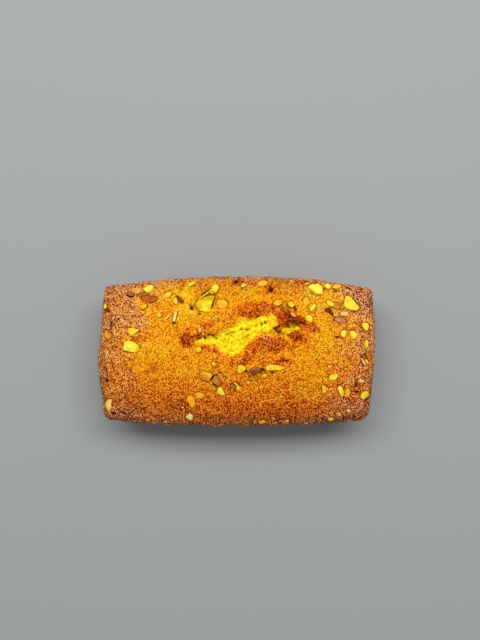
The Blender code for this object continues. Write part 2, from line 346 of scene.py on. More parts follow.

# The largest nut pieces, one for each of the solid's nodes: the outline in pixels of the
# photo, how far the piece stands out of the crust in millimetres, its kind, and how much
# brighter it gets to the right and upwards, which is painted light and shade across the
# piece, and as a whole.
LARGE_NUTS = {
    "nut_half_kernel": (
        (
            (193.2, 304.5), (196.8, 300), (211.3, 293.6), (215.2, 294.6),
            (209.4, 312.6), (200, 312), (196.2, 309.2),
        ),
        0.6, "green", (0.14, -0.18, -0.04),
    ),
    "nut_chunk_left": (
        (
            (122.8, 348.7), (124.2, 342.6), (129.3, 339.9), (134.4, 342), (138.4, 344.9),
            (141, 349.2), (137.5, 353.4), (133.5, 352.8), (124.9, 351.2),
        ),
        0.5, "yellow", (-0.10, 0.05, 0.05),
    ),
    "nut_chunk_right": (
        (
            (343.4, 304.4), (344.8, 298), (345.7, 295.7), (347.8, 295), (350.3, 296),
            (359.8, 306.8), (360, 309.3), (357, 311), (349.3, 310.5), (345.3, 308.4),
        ),
        0.5, "yellow", (0.0, 0.0, 0.0),
    ),
    "nut_chunk_rim": (
        (
            (307.6, 287.4), (311, 283.8), (318, 281.8), (323, 285.2),
            (322.8, 294.4), (316, 295.2), (311, 292.2),
        ),
        0.55, "yellow", (0.12, 0.0, 0.18),
    ),
    "nut_sliver": (
        (
            (264.6, 368.4), (267.2, 365.2), (273, 364.4), (279.6, 365.4),
            (287.6, 367.4), (280, 370.6), (266, 370.4),
        ),
        0.5, "yellow", (-0.16, 0.0, -0.08),
    ),
    "nut_chunk_front": (
        (
            (198.7, 376), (199.5, 373), (202, 371.5), (210.6, 373.2), (212.8, 375.3),
            (209.7, 381.8), (202.5, 381.6), (199.2, 378.8),
        ),
        0.5, "amber", (0.18, 0.18, -0.10),
    ),
    "nut_chunk_middle": (
        (
            (247.6, 371), (251, 367.7), (257, 367), (261.8, 369),
            (260.5, 372.2), (256, 374.8), (251.4, 374.2),
        ),
        0.4, "olive", (0.0, 0.12, -0.22),
    ),
    "nut_chunk_low": (
        (
            (186.2, 399.8), (188, 395), (192.4, 394.6), (195, 399),
            (195.8, 404.8), (191.4, 409.4), (188.4, 403.4),
        ),
        0.5, "gold", (0.0, 0.0, -0.18),
    ),
}

# The smaller pieces that show a shape of their own, by kind: outlines in pixels.
SHAPED_NUTS = {
    "yellow": (
        (
            (151.4, 284), (153.8, 286.2), (152.8, 289.6), (148.8, 293.4),
            (146, 292.9), (143.2, 290.5), (147, 285.9),
        ),
        (
            (188, 284.2), (190.8, 281.4), (193.7, 280.6), (196.6, 282.7),
            (193, 285.7), (189.8, 287.9), (188, 287.2),
        ),
        (
            (214.7, 283.4), (217.3, 285), (219.1, 287.8), (217, 293.2),
            (214.5, 294.2), (212.4, 290.8), (211.3, 288),
        ),
        (
            (324, 286.4), (325.1, 284), (327.6, 282.8), (330.1, 283.8),
            (331.3, 286.4), (329.4, 289.4), (326.5, 289.5),
        ),
        ((314.6, 302.8), (316.4, 306.4), (311, 312), (309.6, 308.6)),
        ((305, 317.8), (307, 315), (310.2, 314.6), (312.3, 317.2), (312.8, 322), (310, 323), (305.2, 320)),
        (
            (344.1, 329.9), (346.3, 331), (346.3, 335.4), (343.6, 338.3),
            (340.7, 335.3), (340.3, 333), (341.8, 331),
        ),
        (
            (349.7, 330.7), (353.7, 330.7), (356.5, 334.2), (356.2, 338),
            (353.6, 339.7), (351.1, 337.9), (349.7, 334.8),
        ),
        (
            (361.7, 323.6), (364.1, 322.6), (367.6, 323.2), (368.8, 326.2),
            (367, 330.5), (365.1, 331.4), (362.8, 328.1),
        ),
        ((366.3, 339.6), (368.5, 342), (368.5, 346), (366.6, 348.3), (364.2, 345.3), (363.6, 342.4)),
        ((129.2, 327.6), (134, 328), (140.1, 329.8), (136, 333), (131.6, 336.5), (128, 333.4), (127.5, 330)),
        (
            (220, 386.6), (222, 387.7), (225.1, 394), (224, 395.5),
            (221, 395.5), (217.8, 393.7), (216.8, 391), (217.7, 388.2),
        ),
        (
            (328.4, 377.2), (330.7, 374.1), (336.3, 373.6), (338.8, 375.1),
            (336.4, 379), (331.9, 380.9), (329, 379.2),
        ),
        (
            (359.2, 397.2), (360.6, 393.7), (364.7, 390), (367.6, 391.1),
            (368.5, 393.9), (365.9, 397.3), (362.3, 399.8),
        ),
        (
            (337.2, 387.7), (339, 385.8), (342, 386.4), (343.2, 389.9),
            (344, 393.8), (342, 397.3), (339.8, 394.4),
        ),
        (
            (238.3, 365), (243, 364.8), (246.6, 367.8), (245.1, 370.7),
            (240.2, 374.2), (237, 373.4), (237.5, 368.6),
        ),
        ((364.6, 360), (366.1, 359), (369, 362.6), (367.7, 364.4), (365.4, 362)),
        ((326.2, 300.2), (328.6, 299.5), (334.6, 304), (333.5, 307), (330.4, 306.7), (326.4, 303.7)),
        ((287.2, 303.4), (289.8, 301.4), (293.3, 302.4), (295.1, 305), (292, 308.4), (288.6, 306.7)),
        ((104.2, 306.4), (105.7, 302.8), (107.5, 304.5), (106.9, 308.8), (104.4, 309)),
        ((195.4, 349.4), (197.6, 346.6), (200.6, 346.8), (201.8, 350.4), (200, 353), (196.6, 352.4)),
        ((211.6, 362.6), (214, 361.2), (216, 364.4), (214, 366), (211.9, 365.2)),
        ((321.2, 385.2), (324.2, 385), (329.3, 389.2), (325.2, 392), (322.8, 394)),
    ),
    "green": (
        ((209, 290.2), (213, 288), (214.8, 294.2), (210.8, 294.8)),
        ((198, 299.4), (203, 295.2), (209.4, 290.6), (210.2, 292), (205.8, 295.6), (199.4, 300)),
        ((121.2, 313.8), (124.4, 310.8), (128.6, 309.4), (128.8, 310.8), (124.2, 313.2)),
    ),
    "gold": (
        ((163.8, 295), (166.6, 292), (170, 291), (172, 293.2), (170, 297), (164.8, 298.2)),
        ((173.2, 298.6), (176.4, 296.4), (178.2, 302), (176.4, 305.2), (173.4, 302.6)),
        ((139.2, 306), (142, 304), (147.2, 304.2), (146.5, 307.4), (143, 309.8), (140.5, 308.8)),
        ((162.6, 320.6), (166, 316.8), (171, 312.8), (172, 314), (168.2, 317.9), (164, 321.5)),
        ((215.6, 302), (218, 299.4), (225, 299.6), (228.6, 303), (226, 308.2), (219.5, 308.8)),
        ((257.4, 283.4), (260, 280.2), (265, 279.2), (268, 281.8), (266.7, 285.8), (262, 287), (258, 286.5)),
        (
            (272.8, 303.2), (275.7, 300), (280, 299.2), (283.2, 300.3),
            (281.5, 304.2), (278, 306.6), (274.9, 305.7),
        ),
        (
            (332.1, 288), (333.1, 284.4), (336, 282.8), (339.7, 282.6),
            (341.8, 285.6), (340.1, 288.5), (335.6, 290),
        ),
        ((194.6, 393.2), (198.5, 392.1), (202.8, 393), (204.1, 396.5), (201, 399.2), (195.8, 398)),
        ((260.5, 376.4), (263.4, 373.4), (267, 373.8), (267.2, 377.4), (263, 378.8)),
        ((246, 382.4), (248.2, 379.6), (251, 382.3), (248.4, 384.8)),
        ((327.2, 418.6), (328.8, 416.6), (332, 416.1), (334, 418.8), (332.4, 421.2), (329, 421.2)),
        ((302.6, 299.6), (305, 296.2), (309.6, 297.5), (309.8, 304.2), (306.4, 306.6), (303.2, 303.4)),
        ((345.2, 389.2), (348.2, 387.4), (351, 391.5), (349.6, 395.4), (348, 398.4), (345, 397.2)),
        ((236, 387), (241.4, 386.4), (242, 388), (238.4, 392), (236.4, 389.4)),
        ((233.6, 382.4), (234.8, 381.6), (239.6, 386.2), (238, 387.6)),
    ),
    "tan": (
        (
            (334, 302.4), (337.6, 301.6), (341.4, 305), (341, 308.5),
            (338, 310.6), (333.8, 309.1), (333, 305.8),
        ),
        ((103.8, 331.5), (106.6, 329.8), (111.2, 332.3), (113.4, 336), (110, 339.8), (104.8, 337.1)),
        ((105.8, 314.4), (107.4, 312.4), (111.4, 313.2), (111.2, 317), (107.4, 317.6)),
        ((335.4, 340.8), (338, 337.8), (342.6, 339.4), (343.4, 344), (339.6, 346.4), (335.8, 344.6)),
        ((276, 329.8), (279.6, 326.8), (281.6, 330.4), (279, 331.8)),
        (
            (365.8, 352.5), (368.4, 351.5), (370.8, 355.2), (371.2, 359.9),
            (369.6, 362.2), (367.2, 358.1), (365.4, 354.8),
        ),
    ),
    "pale": (
        ((131.6, 288.2), (136.8, 286.4), (141.2, 289.3), (142.2, 293.3), (137, 295.2), (133.2, 291.8)),
        ((128, 318.6), (131, 317.2), (136.8, 316.8), (137.2, 320), (131, 322.2)),
        ((290, 313.2), (292.4, 312.3), (296.2, 316), (294.4, 317.9), (291.4, 315.8)),
        ((357.5, 379.3), (360.2, 378.6), (363.7, 380.3), (364.3, 382.2), (360.2, 382.9), (358.1, 381.4)),
        ((346.1, 409.9), (348.6, 408.3), (351, 410.2), (348.3, 412.9)),
        ((339.2, 312.8), (343.8, 310.9), (348.4, 311.6), (349, 314.4), (346, 316.3), (341.4, 315.8)),
        ((367.8, 368), (370.6, 369), (371, 373), (369.8, 374.4), (368.2, 371.6)),
        ((360.2, 358.6), (362, 358), (367, 364.6), (366, 366.2), (363, 363.6)),
        ((336, 412.1), (339.1, 411.4), (341.8, 414.3), (339.9, 416.2), (337.2, 415)),
        ((104.4, 357.6), (105.5, 352.6), (107.6, 349.6), (110, 351.5), (109.2, 357), (106.6, 360.2)),
        ((197.8, 329.6), (199.8, 327.6), (201.6, 329.4), (200, 332.6), (198.2, 332)),
    ),
    "cream": (
        ((175.4, 309.8), (177.4, 312.2), (176.3, 317), (174.8, 321.8), (171.8, 321), (173.7, 315.6)),
        ((185.4, 416.5), (190.2, 412.6), (193.3, 416), (192.4, 420), (189.8, 420.9), (187.2, 418.7)),
        (
            (105, 403.2), (108.5, 398.8), (112.5, 399.2), (111.4, 406),
            (111, 409.2), (108.1, 412.1), (105.4, 409),
        ),
    ),
    "skin": (
        (
            (139.4, 296.6), (142, 294.6), (155.4, 295.2), (157.2, 298.8),
            (155, 301.6), (145.2, 303.6), (141.8, 300.6),
        ),
        ((176.2, 296), (178.8, 296), (182.2, 299.4), (183.2, 302.8), (181.8, 303.5), (178.2, 300.4)),
        ((353.6, 389.4), (355.6, 386.4), (357.6, 387), (356.2, 390.6)),
    ),
    "purple": (
        ((125.6, 292.4), (129.6, 290.4), (134.6, 293.3), (134.8, 295.7), (130, 297), (127.2, 295)),
        (
            (325.4, 308.1), (328, 307), (330.9, 308.7), (334.2, 314.6),
            (333.1, 316.4), (330.1, 314.3), (326.2, 311.2),
        ),
    ),
    "pink": (
        ((105.8, 291), (107.5, 286.8), (113.1, 286.4), (114.6, 291), (111.5, 294), (107.1, 293.8)),
        ((333, 319), (336, 317), (342.7, 317.6), (348, 320.4), (346, 322.8), (341, 323.4), (335.2, 321.7)),
    ),
    "olive": (
        (
            (212.6, 380), (213.5, 376.6), (215.5, 375), (217.9, 376),
            (221.6, 382), (221.2, 385.4), (217.5, 386.2), (213.7, 383.9),
        ),
        ((229.6, 384.6), (233.4, 382.6), (236.6, 388.6), (232, 389.8)),
        ((304, 281.6), (309, 280.4), (310, 282), (306, 283)),
    ),
}

# The smallest pieces by kind: the pixel, length and width in millimetres, and turn.
SMALL_NUTS = {
    "yellow": ((307, 283.9, 1.9, 0.8, 6),),
    "gold": (
        (159.3, 315, 1.8, 1.6, 30), (243, 285, 2.2, 2.0, 20), (262, 421.5, 2.7, 1.5, 10),
        (329.6, 366.7, 1.9, 1.1, 0), (281, 396.5, 1.2, 1.1, 0), (347, 386.6, 1.2, 1.0, 0),
        (203.4, 334, 1.0, 0.8, 0),
    ),
    "tan": ((217.2, 368.4, 1.1, 0.9, 0), (219.6, 374.6, 1.4, 0.9, -20), (110, 306, 2.0, 1.5, 60)),
    "pale": (
        (102, 368, 1.0, 0.7, 0), (183.8, 404.3, 0.9, 0.7, 0), (182.5, 407.5, 0.8, 0.7, 0),
        (148.3, 419.5, 1.5, 0.9, 0), (165.3, 421, 1.2, 0.9, 0), (248.6, 397.8, 1.1, 1.0, 0),
        (255, 422, 1.4, 0.8, 0), (122, 288, 1.0, 0.7, 0), (287, 421, 1.7, 1.1, 0),
        (369.8, 377, 1.0, 0.8, 0), (370.5, 328, 1.7, 1.0, 90), (368, 379.4, 0.9, 0.8, 0),
        (257, 282.4, 1.0, 0.7, 60), (131.8, 311, 2.0, 0.7, -20), (214, 318.4, 0.9, 0.7, 0),
        (348, 286.4, 1.0, 0.8, 0), (339.6, 388.4, 0.8, 0.7, 0),
    ),
    "cream": ((363.5, 286.3, 0.8, 0.7, 0), (370, 393, 0.9, 0.6, 80)),
}

# Pieces that are brighter or duller than the rest of their kind: a pixel, and by how much
# the pieces are whose middles are near it.
NUT_TONE_REACH = 1.0 * MM
NUT_TONES = (
    (328, 286, 0.15), (366, 344, 0.10), (221, 392, 0.25), (364, 395, 0.15), (341, 391, 0.10),
    (365, 327, 0.10), (325, 389, -0.20), (330, 304, -0.10), (125, 312, -0.25), (212, 292, -0.25),
    (222, 304, -0.12), (306, 301, -0.25), (348, 393, -0.20), (331, 419, 0.20), (278, 303, 0.10),
    (137, 291, -0.20), (133, 319, -0.20), (361, 381, 0.25), (348, 410, 0.40), (293, 315, -0.25),
    (107, 355, -0.25), (364, 362, 0.15), (279, 330, -0.30), (109, 315, -0.10), (108, 334, 0.08),
    (148, 299, -0.22), (180, 300, -0.25), (356, 388, 0.35), (330, 311, -0.30), (190, 417, 0.20),
    (217, 381, 0.15), (233, 386, 0.15), (109, 405, -0.30), (175, 316, -0.20),
)

# Every nut piece: its thickness as a share of its least width, how far it stands out of
# the crust at the least, how sharp its edges are, how many slanting facets it has on top,
# and how much its lean, in radians, and its tone vary at random.
NUT_THICKNESS_SHARE = 0.62
NUT_LEAST_PROUD = 0.20 * MM
NUT_SHARPNESS = 60
NUT_FACETS = 3
NUT_LEAN = 0.07
NUT_TONE_SPREAD = 0.07
NUT_SEED = 41

# The layers of noise that chip a nut piece's skin and mottle its tone, in the terms of the
# cake's skin, and how far the noise moves on from one piece to the next.
NUT_CHIPS = ((0.05, 1.1 * MM, 61), (0.035, 0.4 * MM, 62))
NUT_MOTTLE = ((0.2, 1.6 * MM, 63),)
NUT_NOISE_STEP = 7.3 * MM

# The planes that bound a nut piece slant by random amounts between two ends: its sides, the
# bevels over them, its flat top and underside, and its facets. The higher a bevel's or a
# facet's cut is, the more of the piece it takes off.
SIDE_SLANTS = (-0.1, 0.15)
BEVEL_SLANTS = (0.10, 0.26)
BEVEL_CUT = 0.85
FLAT_SLANTS = (-0.14, 0.14)
FACET_SLANTS = (0.3, 0.6)
FACET_CUTS = (0.78, 0.94)

# The corners of a plain chip's outline: fewest, one more than most, how unevenly they are
# spread, and how far out they are, between two ends.
CHIP_CORNERS = (4, 8)
CHIP_SPREAD = 0.3
CHIP_REACHES = (0.8, 1.1)

# How finely the balls are divided that the nut pieces are made of.
LARGE_DIVISIONS = 5
CHIP_DIVISIONS = 4

# Each kind of nut piece: how much further than the least it stands out of the crust, as a
# share of its width, and its colours, from its hollows, where its painted shade falls, to
# its brightest places, where its painted highlights are.
NUT_KINDS = {
    "yellow": (0.12, ((0.66, 0.22, 0.002), (1.0, 0.60, 0.006), (1.0, 0.90, 0.08))),
    "green": (0.12, ((0.34, 0.16, 0.001), (0.78, 0.50, 0.002), (0.98, 0.84, 0.02))),
    "gold": (0.08, ((0.56, 0.14, 0.002), (0.98, 0.42, 0.005), (1.0, 0.70, 0.065))),
    "amber": (0.08, ((0.22, 0.06, 0.002), (0.74, 0.28, 0.006), (1.0, 0.58, 0.03))),
    "tan": (0.02, ((0.18, 0.024, 0.001), (0.58, 0.150, 0.002), (1.0, 0.45, 0.035))),
    "pale": (0.05, ((0.50, 0.15, 0.013), (0.85, 0.375, 0.08), (1.0, 0.69, 0.28))),
    "cream": (0.08, ((0.68, 0.34, 0.04), (1.0, 0.71, 0.14), (1.0, 0.97, 0.42))),
    "skin": (-0.04, ((0.12, 0.009, 0.001), (0.51, 0.095, 0.002), (0.75, 0.26, 0.025))),
    "purple": (-0.05, ((0.03, 0.003, 0.001), (0.09, 0.010, 0.001), (0.58, 0.16, 0.045))),
    "pink": (0.02, ((0.22, 0.048, 0.010), (0.46, 0.13, 0.036), (0.68, 0.29, 0.13))),
    "olive": (0.06, ((0.11, 0.028, 0.001), (0.36, 0.12, 0.008), (0.62, 0.26, 0.035))),
}

# The materials' noises: their sizes, how high their bumps seem, and how they are turned,
# in radians, so that their rows don't run along the cake.
CRUST_FINE = 0.42 * MM
CRUST_FINEST = 0.2 * MM
CRUST_COARSE = 1.3 * MM
NUT_FINE = 0.45 * MM
NUT_COARSE = 1.2 * MM
BUMP_HEIGHT = 0.15 * MM
NOISE_TURN = (0.50, 0.35, 0.60)

# The stage: the floor, the light from all round, and the key light above the high side.
FLOOR_SIZE = 3.0
FLOOR_COLOUR = (0.370, 0.388, 0.388)
SKY_COLOUR = (0.97, 0.985, 1.0)
SKY_STRENGTH = 0.30
KEY_PLACE = (0.0, 0.33, 0.64)
KEY_LENGTH = 1.1
KEY_WIDTH = 0.28
KEY_POWER = 5.5


# Numbers for shapes.


def hashed(cell, seed):
    """A random number from 0 to 1 for each whole-number cell."""
    x, y, z = (cell[..., axis].astype(np.uint64) for axis in range(3))
    mixed = x * np.uint64(73856093) ^ y * np.uint64(19349663) ^ z * np.uint64(83492791)
    mixed ^= np.uint64(seed * 668265263)
    mixed *= np.uint64(0x9E3779B97F4A7C15)
    mixed ^= mixed >> np.uint64(31)
    mixed *= np.uint64(0xBF58476D1CE4E5B9)
    return (mixed >> np.uint64(40)).astype(float) / 2**24


def wave(points, size, seed):
    """Smooth noise from -1 to 1, whose bumps are about that size."""
    scaled = points / size
    cell = np.floor(scaled).astype(np.int64)
    part = scaled - cell
    part = part * part * (3 - 2 * part)
    total = np.zeros(len(points))
    for corner in itertools.product((0, 1), repeat=3):
        weight = np.where(corner, part, 1 - part).prod(axis=1)
        total += weight * hashed(cell + corner, seed)
    return 2 * total - 1


def waves(points, layers):
    """The sum of layers of noise, each given by its strength, its size and its seed."""
    return sum(strength * wave(points, size, seed) for strength, size, seed in layers)


def pebbles(points, size, seed):
    """How far each point is from the nearest of scattered middles, and that one's number.

    The distance is counted in sizes, and the number is random, from 0 to 1.
    """
    scaled = points / size
    cell = np.floor(scaled).astype(np.int64)
    nearest = np.full(len(points), 9.0)
    number = np.zeros(len(points))
    for offset in itertools.product((-1, 0, 1), repeat=3):
        there = cell + offset
        shift = np.stack([hashed(there, seed + axis) for axis in range(3)], axis=1)
        away = np.linalg.norm(scaled - there - shift, axis=1)
        number = np.where(away < nearest, hashed(there, seed + 3), number)
        nearest = np.minimum(nearest, away)
    return nearest, number


def eased(value, low, high):
    """0 up to low and 1 from high on, with an ease between them. High may be the lower."""
    part = np.clip((value - low) / (high - low), 0.0, 1.0)
    return part * part * (3 - 2 * part)


def turned(places, degrees):
    turn = math.radians(degrees)
    rows = ((math.cos(turn), -math.sin(turn)), (math.sin(turn), math.cos(turn)))
    return places @ np.array(rows).T


def oval(places, middle, half_length, half_width, degrees):
    """How far out each place is in an oval: 0 in its middle and 1 at its edge."""
    away = turned(places - middle, -degrees) / (half_length, half_width)
    return np.hypot(away[:, 0], away[:, 1])


def line_distance(places, course, closed=False):
    """How far each place is from a course of straight stretches."""
    nearest = np.full(len(places), np.inf)
    ends = np.roll(course, -1, axis=0) if closed else course[1:]
    for start, end in zip(course, ends):
        run = end - start
        share = np.clip((places - start) @ run / (run @ run), 0, 1)
        gap = np.linalg.norm(places - start - share[:, None] * run, axis=1)
        nearest = np.minimum(nearest, gap)
    return nearest


def outline_distance(places, corners):
    """How far each place is outside a closed outline. Inside it the number is negative."""
    inside = np.zeros(len(places), bool)
    x, y = places.T
    for start, end in zip(corners, np.roll(corners, -1, axis=0)):
        spans = (start[1] > y) != (end[1] > y)
        rise = end[1] - start[1]
        at = start[0] + (y - start[1]) * (end[0] - start[0]) / (rise if rise else 1.0)
        inside ^= spans & (x < at)
    return np.where(inside, -1, 1) * line_distance(places, corners, closed=True)


def gauge(points, planes, sharpness):
    """How far out each point is in the rounded shape that planes bound: 1 is its skin.

    A plane is its outward direction over its distance from the middle.
    """
    out = np.clip(points @ planes.T, 0, None)
    peak = np.maximum(out.max(axis=1), 1e-9)
    return peak * ((out / peak[:, None]) ** sharpness).sum(axis=1) ** (1 / sharpness)


def side_planes(corners):
    """The sides of a convex outline round the middle, for gauge."""
    run = np.roll(corners, -1, axis=0) - corners
    across = np.stack([run[:, 1], -run[:, 0]], axis=1)
    return across / (across * corners).sum(axis=1)[:, None]


# The cake's shape.


def blended(u, v, key):
    """A corner value at u, v, from -1 to 1, between its values at the four corners."""
    return sum(
        corner[key] * (1 + sign_x * u) * (1 + sign_y * v) / 4
        for (sign_x, sign_y), corner in RIM_CORNERS.items()
    )


def corner_radius(u, v):
    radius = np.zeros_like(u)
    for (sign_x, sign_y), corner in RIM_CORNERS.items():
        near = ((u >= 0) == (sign_x > 0)) & ((v >= 0) == (sign_y > 0))
        radius[near] = corner["radius"]
    return radius


def rounded(u, v, half_length, half_width, radius):
    """u, v with the square's corner turned to a round one of that radius."""
    a = np.clip((abs(u) * half_length - (half_length - radius)) / radius, 0, 1)
    b = np.clip((abs(v) * half_width - (half_width - radius)) / radius, 0, 1)
    x = radius * a * np.sqrt(1 - b * b / 2)
    y = radius * b * np.sqrt(1 - a * a / 2)
    corner = (a > 0) & (b > 0)
    round_u = np.where(corner, np.sign(u) * (1 - (radius - x) / half_length), u)
    round_v = np.where(corner, np.sign(v) * (1 - (radius - y) / half_width), v)
    return round_u, round_v


def rim_place(u, v):
    """The X and Y on the top, or at its rim, of u, v."""
    u, v = rounded(u, v, LENGTH / 2, WIDTH / 2, corner_radius(u, v))
    x = u * (LENGTH / 2 - abs(v) ** END_SWELL_POWER * blended(u, v, "end"))
    y = v * (WIDTH / 2 - abs(u) ** SIDE_SWELL_POWER * blended(u, v, "side"))
    depth, middle, reach = LEFT_DENT
    dent = depth * np.exp(-(((v - middle) / reach) ** 2)) * (1 - u) / 2
    return np.stack([x + dent + RIM_SKEW * v, y], axis=1)


def rim_height(u, v):
    return RIM_HEIGHT - CORNER_DIP * u * u * v * v


def shoulder(inward):
    left = np.clip(1 - inward / SHOULDER_REACH, 0, 1)
    return np.sqrt(1 - left * left)


def top_height(u, v):
    """The height at u, v of the smooth crust, before its split and its grain."""
    edge = shoulder((1 - abs(u)) * LENGTH / 2) * shoulder((1 - abs(v)) * WIDTH / 2)
    dome = (1 - abs(u) ** DOME_END_POWER) * (1 - abs(v) ** DOME_SIDE_POWER)
    return rim_height(u, v) + SHOULDER_RISE * edge + DOME_RISE * dome


def cake_points(u, v, level):
    """Points of the cake's smooth skin.

    level is 1 on the top and 0 to 1 up the wall. From 0 to -1 it goes round the edge
    of the base to the flat underside.
    """
    rim = rim_place(u, v)
    base_u, base_v = rounded(u, v, BASE_LENGTH / 2, BASE_WIDTH / 2, BASE_CORNER_RADIUS)
    turn = np.clip(-level, 0, 1) * math.pi / 2
    inset = BASE_EDGE_RADIUS * (1 - np.cos(turn))
    base = np.stack(
        [base_u * (BASE_LENGTH / 2 - inset), base_v * (BASE_WIDTH / 2 - inset)], axis=1
    )
    up = np.clip(level, 0, 1)
    past = np.clip((up - LIP_START) / (1 - LIP_START), 0, 1)
    share = (1 - LIP_SHARE) * up + LIP_SHARE * past * past * (3 - 2 * past)
    place = base + (rim - base) * share[:, None]
    arc = BASE_EDGE_RADIUS * (1 - np.sin(turn))
    wall = BASE_EDGE_RADIUS + up * (rim_height(u, v) - BASE_EDGE_RADIUS)
    height = np.where(level >= 1, top_height(u, v), np.where(level > 0, wall, arc))
    return np.column_stack([place, height])


def square_place(places):
    """The u and v of places on the top, found by repeated correction."""
    u, v = 2 * places[:, 0] / LENGTH, 2 * places[:, 1] / WIDTH
    for _ in range(PLACE_CORRECTIONS):
        found = rim_place(u, v)
        u = np.clip(u + 2 * (places[:, 0] - found[:, 0]) / LENGTH, -PLACE_LIMIT, PLACE_LIMIT)
        v = np.clip(v + 2 * (places[:, 1] - found[:, 1]) / WIDTH, -PLACE_LIMIT, PLACE_LIMIT)
    return u, v


def on_crust(pixels):
    """The X and Y of the crust that the camera sees at each pixel of the photo."""
    offset = (np.array(pixels, float) - PHOTO_MIDDLE) * (PIXEL, -PIXEL)
    places = CAMERA_PLACE + offset
    for _ in range(HEIGHT_CORRECTIONS):
        rise = top_height(*square_place(places)) - RIM_HEIGHT
        places = CAMERA_PLACE + offset * (1 - rise / VIEW_DISTANCE)[:, None]
    return rim_place(*square_place(places))


def crust_frame(place):
    """The matrix of something that lies on the smooth crust at a place."""
    step = 0.6 * MM
    near = place + np.array(((0, 0), (step, 0), (0, step)))
    u, v = square_place(near)
    spots = [Vector(spot) for spot in np.column_stack([rim_place(u, v), top_height(u, v)])]
    ahead = (spots[1] - spots[0]).normalized()
    up = ahead.cross(spots[2] - spots[0]).normalized()
    rows = Matrix((ahead, up.cross(ahead), up)).transposed()
    return Matrix.Translation(spots[0]) @ rows.to_4x4()


# The crust's relief and browning.


def patches(places, table, border=PATCH_BORDER):
    """How strongly a table's patches colour each place, and how far they lift it."""
    colour = np.zeros(len(places))
    lift = np.zeros(len(places))
    for column, row, half_length, half_width, turn, strength, rise in table.values():
        middle = on_crust([(column, row)])[0]
        out = oval(places, middle, half_length * MM, half_width * MM, turn)
        colour += (1 - colour) * strength * eased(out, *border)
        lift += rise * MM * eased(out, *LIFT_BORDER)
    return colour, lift


def crumb_share(places):
    """1 where the torn crumb is bare, and 0 on the crust."""
    shares = []
    for outline in (CRUMB_OUTLINE, SIDE_CRUMB_OUTLINE):
        distance = outline_distance(places, on_crust(outline))
        shares.append(eased(distance, *CRUMB_BORDER))
    return np.maximum(*shares)


def ragged(points, size, reach, seed):
    """The points' X and Y, shifted by noise so that outlines come out ragged."""
    shift = np.stack([wave(points, size, seed), wave(points, size, seed + 1)], axis=1)
    return points[:, :2] + reach * shift


def swell(points):
    """The broad, low swells of the whole skin."""
    return waves(points, SWELLS) * MM


def broad_lift(points):
    """How far the crust's broad swells, its patches and its split lift the skin."""
    places = ragged(points, *LIFT_TEARS)
    lift = patches(places, BROWN_PATCHES)[1]
    return swell(points) + lift - CRUMB_DEPTH * MM * crumb_share(places)


def pit_depths(places):
    """How deep in a dark pit each place is, from 0 to 1."""
    depth = np.zeros(len(places))
    for column, row, length, width, turn in PITS:
        middle = on_crust([(column, row)])[0]
        out = oval(places, middle, length * MM / 2, width * MM / 2, turn)
        depth = np.maximum(depth, eased(out, *PIT_BORDER))
    return depth


def nut_beds(places, nuts):
    """Where the nut pieces lie: how far under one, and how far in the ring round one.

    Both run from 0 to 1.
    """
    under = np.zeros(len(places))
    ring = np.zeros(len(places))
    for nut in nuts:
        reach = np.linalg.norm(nut.corners, axis=1).max() + 1.2 * MM
        near = np.flatnonzero(np.linalg.norm(places - nut.place, axis=1) < reach)
        local = places[near] - nut.place
        out = gauge(local, side_planes(nut.corners), NUT_SHARPNESS)
        gap = (1 - 1 / np.maximum(out, 1e-3)) * np.linalg.norm(local, axis=1)
        under[near] = np.maximum(under[near], eased(gap, *BED_BORDER))
        around = eased(gap, *RING_INSIDE) * eased(gap, *RING_OUTSIDE)
        ring[near] = np.maximum(ring[near], around)
    return under, ring


def edge_distances(u, v):
    """How far each point of the top is from its four edges."""
    return {
        "left": (1 + u) * LENGTH / 2,
        "right": (1 - u) * LENGTH / 2,
        "low": (1 + v) * WIDTH / 2,
        "high": (1 - v) * WIDTH / 2,
    }


def edge_browning(distances, noise):
    """How dull and brown, with painted sheen, the crust is by its distance from the top's four edges."""
    dull = np.zeros(len(noise))
    for side, (shade, reach, power) in EDGE_BROWNING.items():
        near = np.exp(-((distances[side] / (reach * (1 + 0.2 * noise))) ** power))
        dull += (1 - dull) * shade * near
    return dull


def orange_glow(distances, v):
    """How orange the crust is inside its brown edges: along the low side and the ends."""
    ends = np.minimum(distances["left"], distances["right"])
    bands = ((distances["low"], *LOW_GLOW, 1), (distances["low"], *LOW_CHAR, 1))
    bands += ((ends, *END_GLOW, eased(v, 0.6, -0.1)),)
    glow = np.zeros(len(v))
    for distance, shade, reach, power, share in bands:
        glow += (1 - glow) * shade * np.exp(-((distance / reach) ** power)) * share
    return glow


def grains(points, rough):
    """The crust's grain, from 0 in its gaps to 1, and a random number for each grain.

    The rougher the crust, the more of its grains are large.
    """
    large, large_number = pebbles(points, *LARGE_GRAINS)
    small, small_number = pebbles(points, *SMALL_GRAINS)
    large_dome = 1 - np.minimum(large, 1) ** 2
    small_dome = 1 - np.minimum(small, 1) ** 2
    share = 0.25 + 0.30 * rough
    grain = share * large_dome + (1 - share) * small_dome
    return grain, share * large_number + (1 - share) * small_number


